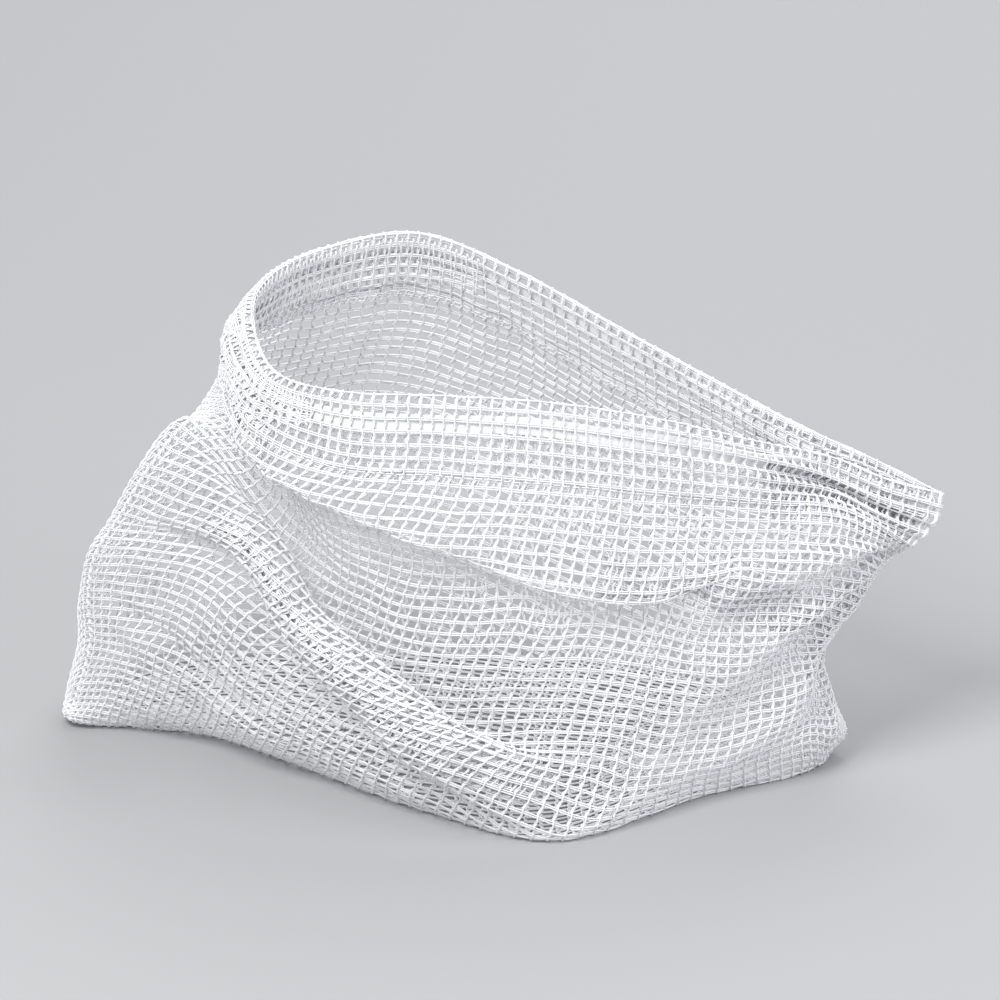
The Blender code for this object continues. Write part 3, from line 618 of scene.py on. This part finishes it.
def layers(name, u_from, u_to, tops, bottoms, gaps, slip, pitch=PITCH, first=1.8):
    """Net folded close behind the outer one: it runs down one gap inside it and
    comes back up the next. tops and bottoms hold (u, v) where it starts and turns,
    and pitch is how far apart its warps lie now that it is gathered."""
    made = Threads()

    def place(u, t):
        """t goes 0 to 1 down the first layer, 1 to 2 back up the second, and so on."""
        top = np.interp(u, *np.transpose(tops))
        bottom = np.interp(u, *np.transpose(bottoms))
        k = np.clip(np.floor(t), 0, len(gaps) - 1).astype(int)
        part = t - k
        part = np.where(k % 2 == 0, part, 1 - part)
        v = top + (bottom - top) * part
        gap = np.interp(t, np.repeat(np.arange(len(gaps)), 2) + np.tile([0.06, 0.94], len(gaps)), np.repeat(gaps, 2))
        round_up = 0.7 * np.exp(-(((t - np.round(t)) / 0.03) ** 2)) * (np.round(t) > 0.5)
        v = v - round_up * np.where(k % 2 == 0, 0.0, 1.0)
        u = np.clip(u + slip * (0.5 + k) * (1 + 0.6 * np.sin(u / 19.0)) + 0.10 * (k - 0.5) * (v - top), u_from - 2, u_to + 2)
        n = unit(read(NORMALS, u, v))
        return read(SURFACE, u, v) - n * gap[..., None], n, unit(read(DOWN, u, v))

    depth = float(np.mean([b for _, b in bottoms]) - np.mean([b for _, b in tops]))
    t = np.linspace(0, len(gaps), max(6, int(depth * len(gaps) / 1.15)))
    for u0 in np.arange(u_from + 1.6, u_to - 1.0, pitch):
        p, n, along = place(np.full_like(t, u0), t)
        side = unit(np.cross(along, n))
        sway = t * depth / PITCH * math.pi
        for k in (1, -1):
            q = p + side * (SWAY * np.sin(2 * sway) + k * PLY_SIDE * np.sin(sway))[:, None]
            q = q + n * (k * 0.25 * np.cos(sway))[:, None]
            made.add(q[None], n[None], PLY * 0.95)
    u = np.arange(u_from, u_to + 0.1, 2.0)
    for t0 in np.arange(first / depth, len(gaps), (PITCH + pitch) / 2 / depth):
        p, n, along = place(u, np.full_like(u, t0))
        for k in (1, -1):
            made.add((p + along * (k * WEFT_SIDE))[None], n[None], WEFT * 0.95)
    made = made.build(name, NET)
    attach(made, "bag")
    return made


nets = []
per = COLS // 2 // STRIPS
for panel, start in (("front", 0), ("back", COLS // 2)):
    for k in range(STRIPS):
        made = strip(f"{panel}_net_{k + 1}", start + k * per, start + (k + 1) * per, k == STRIPS - 1)
        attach(made, "bag")
        nets.append(made)
W2 = 2 * FLAT_WIDTH
crests = [(u, crest + 2.2) for u, crest, _, _ in LANDMARKS if 100 < u < 300]
feet = [(u, foot - 1.2) for u, _, foot, _ in LANDMARKS if 100 < u < 300]
nets += [
    # the ends of the hem, turned in before the side seams
    layers("front_hem_right_turning", 3.0, 66.0, [(0, 1.5), (76, 1.5)], [(0, 29), (40, 31), (76, 33)], (1.1, 2.3), 0.9, 2.5),
    layers("back_hem_right_turning", W2 - 60.0, W2 - 3.0, [(0, 1.5), (W2, 1.5)], [(0, 28), (W2, 28)], (1.1, 2.3), -0.8, 2.8),
    layers("hem_left_turning", FLAT_WIDTH - 44.0, FLAT_WIDTH + 40.0, [(0, 1.5), (W2, 1.5)], [(0, 30), (W2, 30)], (0.9, 1.9), 1.2, 2.3),
    # net that the tape has bunched at the left of the mouth, outside and inside
    layers("hem_left_bunching", 228.4, 332.4, [(228, 5), (246, 2), (262, 1.5), (W2, 1.5)],
           [(228, 13), (246, 19), (262, 27), (W2, 27)], (0.0,), 0.0, PITCH, 3.7),
    layers("back_hem_left_bunching", 300.4, 420.4, [(0, 1.5), (W2, 1.5)], [(0, 21), (400, 21), (422, 16)], (2.9,), 0.0, PITCH, 2.4),
    # where the collapsed net lies in folds
    layers("diagonal_fold_return", 114.0, 262.0, crests, feet, (1.3, 2.5), 1.3, 3.2),
    layers("diagonal_fold_edge", 120.0, 258.0, [(u, v - 7.5) for u, v in feet], [(u, v + 0.4) for u, v in feet], (0.7, 3.6), 0.8, 2.4, 1.2),
    layers("collar_foot_fold", 20.0, 124.0, [(20, 56), (45, 60), (74, 55), (96, 49), (124, 45)],
           [(20, 84), (45, 84), (74, 73), (96, 64), (124, 57)], (1.3, 2.5), 1.1, 3.0),
    layers("right_seam_fold", 2.0, 26.0, [(0, 40), (26, 58)], [(0, 104), (26, 112)], (1.3, 2.5), 0.9, 2.8),
]
print("net strips", [len(o.data.polygons) * 2 for o in nets])

# ---- the drawstring: one endless flat tape, woven ------------------------------
AXIS = unit(np.array([0.9100, 0.0, -0.4146]))
ACROSS = np.array([AXIS[2], 0.0, -AXIS[0]])
TAPE_WIDTH, TAPE_THICK, TAPE_DROP = 6.0, 0.85, 8.5
LEG_START, LEG_END = 110.5, 136.6


def in_casing(u):
    """Middle of the tape in the casing, its normal and the way across it."""
    u = np.asarray(u, float)
    drop = TAPE_DROP + 0.5 * np.sin(u / 27.0) + 0.3 * np.sin(u / 9.0)
    n, down = unit(read(NORMALS, u, drop)), unit(read(DOWN, u, drop))
    inset = casing_room(u) / 2 + read(PUFF[..., None], u, drop)[..., 0]
    inset = inset + 0.7 * bump(u, 26, 38, 56, 84)          # it lies against the turned layer
    return read(SURFACE, u, drop) - n * inset[..., None], n, down


FRONT_LEG = np.array([124.656, -5.0, 88.643])
BACK_LEG = np.array([122.881, 0.9, 92.653])


def on_leg(start, x):
    x = np.asarray(x, float)
    return start + AXIS * ((x - start[0]) / AXIS[0])[:, None]


def u_where_x(x, first, last):
    u = np.linspace(first, last, 600)
    return u[np.argmin(abs(in_casing(u)[0][:, 0] - x))]


lead = 9.0
u_front = u_where_x(LEG_START - lead, 10, 70)
u_back = u_where_x(LEG_START - lead, 500, 566)
run_u = np.linspace(u_front, u_back, 560)
run, run_n, run_down = in_casing(run_u)
legs_x = np.linspace(LEG_START, LEG_END, 28)
front_leg, back_leg = on_leg(FRONT_LEG, legs_x), on_leg(BACK_LEG, legs_x)
a1, b1 = front_leg[-1], back_leg[-1]
half_gap = (b1[1] - a1[1]) / 2
turn = np.linspace(0, math.pi, 15)[1:-1]
bight = a1 + (b1 - a1) * ((1 - np.cos(turn)) / 2)[:, None] + AXIS * (half_gap * 1.25 * np.sin(turn))[:, None]
out_n = np.array([0.0, -1.0, 0.0])
bight_n = np.stack([unit(np.cross(t, ACROSS)) for t in np.gradient(np.concatenate([[a1], bight, [b1]]), axis=0)[1:-1]])
if bight_n[0] @ out_n < 0:
    bight_n = -bight_n
closed = np.concatenate([run, back_leg, bight[::-1], front_leg[::-1]])
closed_n = np.concatenate([run_n, np.tile(-out_n, (28, 1)), bight_n[::-1], np.tile(out_n, (28, 1))])
closed_across = np.concatenate([run_down, np.tile(ACROSS, (len(legs_x) * 2 + len(bight), 1))])
# evenly spaced, with the joins between runs and legs eased
keep = np.concatenate([[True], np.linalg.norm(np.diff(closed, axis=0), axis=1) > 0.05])
closed, closed_n, closed_across = closed[keep], closed_n[keep], closed_across[keep]
ring = np.concatenate([closed, closed[:1]])
lengths = np.concatenate([[0], np.cumsum(np.linalg.norm(np.diff(ring, axis=0), axis=1))])
TAPE_LENGTH = float(lengths[-1])
STEP = 0.75
places = np.linspace(0, TAPE_LENGTH, int(TAPE_LENGTH / STEP) + 1)[:-1]


def along_tape(values):
    values = np.concatenate([values, values[:1]])
    return np.stack([np.interp(places, lengths, values[:, k]) for k in range(3)], axis=1)


def ease(values, times):
    for _ in range(times):
        values = (np.roll(values, 1, 0) + 2 * values + np.roll(values, -1, 0)) / 4
    return values


tape_line, tape_n, tape_across = along_tape(closed), along_tape(closed_n), along_tape(closed_across)
near_bight = ramp(tape_line[:, 0], LEG_END - 3, LEG_END)[:, None]
eased = ease(tape_line, 14)
tape_line = eased * (1 - near_bight) + ease(tape_line, 2) * near_bight
tangent = unit(np.roll(tape_line, -1, 0) - np.roll(tape_line, 1, 0))
tape_across = ease(tape_across, 14)
tape_across = unit(tape_across - (tape_across * tangent).sum(1, keepdims=True) * tangent)
tape_n = unit(np.cross(tangent, tape_across))
tape_n *= np.where((tape_n * ease(along_tape(closed_n), 3)).sum(1, keepdims=True) < 0, -1.0, 1.0)
if (tape_n[0] * closed_n[0]).sum() < 0:
    tape_n = -tape_n

# the weave stands as twelve warp ribs with a weft beat along them
RIBS = 12
per_rib = 3
edge = np.linspace(-1, 1, RIBS * per_rib + 1)
profile = []
for e in edge:
    profile.append((e, 1))
for e in edge[::-1]:
    profile.append((e, -1))
profile = np.array(profile)
rounding = np.sqrt(np.clip(1 - np.abs(profile[:, 0]) ** 8, 0, 1)) * 0.75 + 0.25
rib = 0.5 - 0.5 * np.cos((profile[:, 0] + 1) / 2 * RIBS * 2 * math.pi)
rib_number = np.floor((profile[:, 0] + 1) / 2 * RIBS - 1e-6)
beat = np.cos(places[:, None] / 1.5 * 2 * math.pi + rib_number[None, :] * math.pi)
height = (TAPE_THICK / 2) * rounding[None, :] * (0.78 + 0.22 * rib[None, :] * (0.7 + 0.3 * beat))
width = TAPE_WIDTH / 2 * (1 + 0.02 * np.sin(places / 1.5 * 2 * math.pi)[:, None])
tape_points = (
    tape_line[:, None]
    + tape_across[:, None] * (profile[None, :, 0] * width)[..., None]
    + tape_n[:, None] * (profile[None, :, 1] * height)[..., None]
)
rings, around = tape_points.shape[:2]
i = np.arange(rings)[:, None]
k = np.arange(around)[None, :]
i2, k2 = (i + 1) % rings, (k + 1) % around
tape_quads = np.stack([i * around + k, i2 * around + k, i2 * around + k2, i * around + k2], -1).reshape(-1, 4)
volume_sign = np.einsum(
    "ij,ij->i",
    tape_points.reshape(-1, 3)[tape_quads[:, 0]],
    np.cross(tape_points.reshape(-1, 3)[tape_quads[:, 1]], tape_points.reshape(-1, 3)[tape_quads[:, 2]]),
).sum()
if volume_sign < 0:
    tape_quads = tape_quads[:, ::-1]
tape_lay = np.zeros((rings, around, 3))
tape_lay[..., 0], tape_lay[..., 1] = places[:, None], 1.0
print("tape length in mm", round(TAPE_LENGTH, 1))
tape = make_mesh("drawstring_tape", tape_points.reshape(-1, 3), tape_quads, TAPE, tape_lay.reshape(-1, 3))

# ---- stitching -------------------------------------------------------------------


def stitches(name, first, last, slot_name="thread"):
    """Lockstitch through both layers at the foot of the casing, with the raw
    edge's overlock loops inside it."""
    made = Threads()
    starts = np.arange(first, last - 3.0, 3.2)
    t = np.linspace(0, 1, 5)
    for side, lift in ((1, 0.78), (-1, 0.72)):
        shift = 0.0 if side > 0 else 1.6
        u = starts[:, None] + shift + 2.7 * t[None, :]
        v = np.full_like(u, 25.2) + 0.12 * np.sin(u / 3.0)
        p, n = read(SURFACE, u, v), unit(read(NORMALS, u, v))
        arch = np.sin(math.pi * t)[None, :] * 0.42
        off = (lift + arch - 0.5) if side > 0 else -(1.45 + lift + arch - 0.5)
        made.add(p + n * off[..., None] if side > 0 else p + n * off[..., None], n, 0.2)
    # overlock: a thread that loops over the raw edge of the turned layer
    u = np.arange(first, last, 0.45)
    wave = np.arange(len(u))
    v = 26.7 + 1.3 * np.cos(wave * math.pi / 3)
    off = 1.45 + 0.75 * np.sin(wave * math.pi / 3)
    p, n = read(SURFACE, u, v), unit(read(NORMALS, u, v))
    made.add((p - n * off[:, None])[None], n[None], 0.19)
    return made.build(name, SEWING)


def frame_along(line):
    """Smooth normals for a line of points."""
    t = unit(np.gradient(line, axis=0))
    up = np.tile(np.array([0.15, 0.1, 1.0]), (len(line), 1))
    side = unit(np.cross(t, up))
    return t, side, unit(np.cross(side, t))


def resample(line, step):
    lengths = np.concatenate([[0], np.cumsum(np.linalg.norm(np.diff(line, axis=0), axis=1))])
    s = np.linspace(0, lengths[-1], max(3, int(lengths[-1] / step)))
    return np.stack([np.interp(s, lengths, line[:, k]) for k in range(3)], axis=1), s


def seam(name, line, size=1.0):
    """Two raw edges rolled together: four cords side by side, and the overlock
    thread wound over them."""
    line, s = resample(line, 1.0)
    line[:, 2] = np.maximum(line[:, 2], 0.85)
    t, side, up = frame_along(line)
    made = Threads()
    for k in range(4):
        angle = k * math.pi / 2 + s * 0.55
        q = line + (side * np.cos(angle)[:, None] + up * np.sin(angle)[:, None]) * (0.42 * size)
        made.add(q[None], up[None], 0.34 * size)
    fine, f = resample(line, 0.28)
    t, side, up = frame_along(fine)
    angle = f * 2 * math.pi / 2.3
    loop = fine + (side * np.cos(angle)[:, None] * 1.0 + up * np.sin(angle)[:, None] * 0.78) * size
    made.add(loop[None], up[None], 0.17)
    return made.build(name, SEWING)


front_stitching = stitches("front_hem_stitches", 6.0, FLAT_WIDTH - 2.0)
back_stitching = stitches("back_hem_stitches", FLAT_WIDTH + 2.0, 2 * FLAT_WIDTH - 17.0)

j = np.arange(0, ROWS + 0.01, 0.25)
vs_left = lattice_curve(LB[COLS // 2][None], j)[0]
left_line = read(SURFACE, np.full_like(vs_left, FLAT_WIDTH), vs_left)
left_line = left_line - unit(read(NORMALS, np.full_like(vs_left, FLAT_WIDTH), vs_left)) * 0.5
vs_right = lattice_curve(LB[0][None], j)[0]
right_line = (
    read(SURFACE, np.zeros_like(vs_right), vs_right) + read(SURFACE, np.full_like(vs_right, 2 * FLAT_WIDTH), vs_right)
) / 2
us_bottom = np.linspace(2.0, FLAT_WIDTH - 2.0, 280)
bottom_line = (
    read(SURFACE, us_bottom, np.full_like(us_bottom, FLAT_DEPTH))
    + read(SURFACE, 2 * FLAT_WIDTH - us_bottom, np.full_like(us_bottom, FLAT_DEPTH))
) / 2
left_seam = seam("left_seam_overlock", left_line[vs_left > 29.0])
right_seam = seam("right_seam_overlock", right_line[vs_right > 31.0])
bottom_seam = seam("bottom_seam_overlock", bottom_line)

s_edge = np.arange(-1.5, 32.0, 0.5)


def hem_edge(name, u, s):
    """The rolled and overlocked edge at an end of the hem."""
    v = np.abs(s) + (casing_room(np.array([u]))[0] / 2 - 2.0) * (1 - ramp(np.abs(s), 2, 28))
    p, n, along = hem_place(np.full_like(s, u), s, v)
    return seam(name, p, 0.7)


ends = [
    hem_edge("front_hem_end", 1.2, s_edge),
    hem_edge("back_hem_end", 2 * FLAT_WIDTH - 1.2, s_edge[s_edge > 0.5]),
    hem_edge("front_hem_inner_end", TURNED_FROM, -s_edge[s_edge > 2.2]),
    hem_edge("back_hem_inner_end", TURNED_TO, -s_edge[s_edge > 2.2]),
]
for made in (front_stitching, back_stitching, left_seam, right_seam, bottom_seam, *ends):
    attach(made, "bag")

# ---- what stands for what ----------------------------------------------------------
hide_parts("front_panel", "front_hem_casing")
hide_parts("back_panel", "back_hem_casing")
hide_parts("front_hem_stitching")
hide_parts("back_hem_stitching")
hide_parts("left_side_seam")
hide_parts("right_side_seam")
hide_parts("bottom_seam")
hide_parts("drawstring_front_run", "drawstring_back_run", "drawstring_pull_loop")
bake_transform(tape)

# ---- floor and light ------------------------------------------------------------------
floor_mesh = bpy.data.meshes.new("floor")
size = 30.0
floor_mesh.from_pydata([(-size, -size, 0), (size, -size, 0), (size, size, 0), (-size, size, 0)], [], [(0, 1, 2, 3)])
floor = bpy.data.objects.new("floor", floor_mesh)
bpy.context.scene.collection.objects.link(floor)
floor_look = bpy.data.materials.new("pale_floor")
floor_look.use_nodes = True
floor_look.node_tree.nodes["Principled BSDF"].inputs["Base Color"].default_value = (0.40, 0.405, 0.415, 1)
floor_look.node_tree.nodes["Principled BSDF"].inputs["Roughness"].default_value = 0.9
floor_mesh.materials.append(floor_look)

world = bpy.data.worlds.new("studio")
bpy.context.scene.world = world
world.use_nodes = True
world.node_tree.nodes["Background"].inputs["Color"].default_value = (0.96, 0.98, 1.0, 1)
world.node_tree.nodes["Background"].inputs["Strength"].default_value = 0.62


def light(name, place, aim, width, power, colour=(1, 1, 1)):
    data = bpy.data.lights.new(name, "AREA")
    data.shape = "SQUARE"
    data.size = width
    data.energy = power
    data.color = colour
    made = bpy.data.objects.new(name, data)
    made.location = place
    made.rotation_mode = "QUATERNION"
    made.rotation_quaternion = (Vector(aim) - Vector(place)).to_track_quat("-Z", "Y")
    bpy.context.scene.collection.objects.link(made)


light("key", (-0.55, -0.75, 1.1), (0, 0, 0.05), 0.6, 15.0, (1.0, 0.99, 0.97))
light("fill", (0.9, -0.5, 0.55), (0, 0, 0.06), 0.8, 5.0, (0.95, 0.97, 1.0))
light("back", (0.2, 1.0, 0.9), (0, 0, 0.08), 0.8, 7.0)
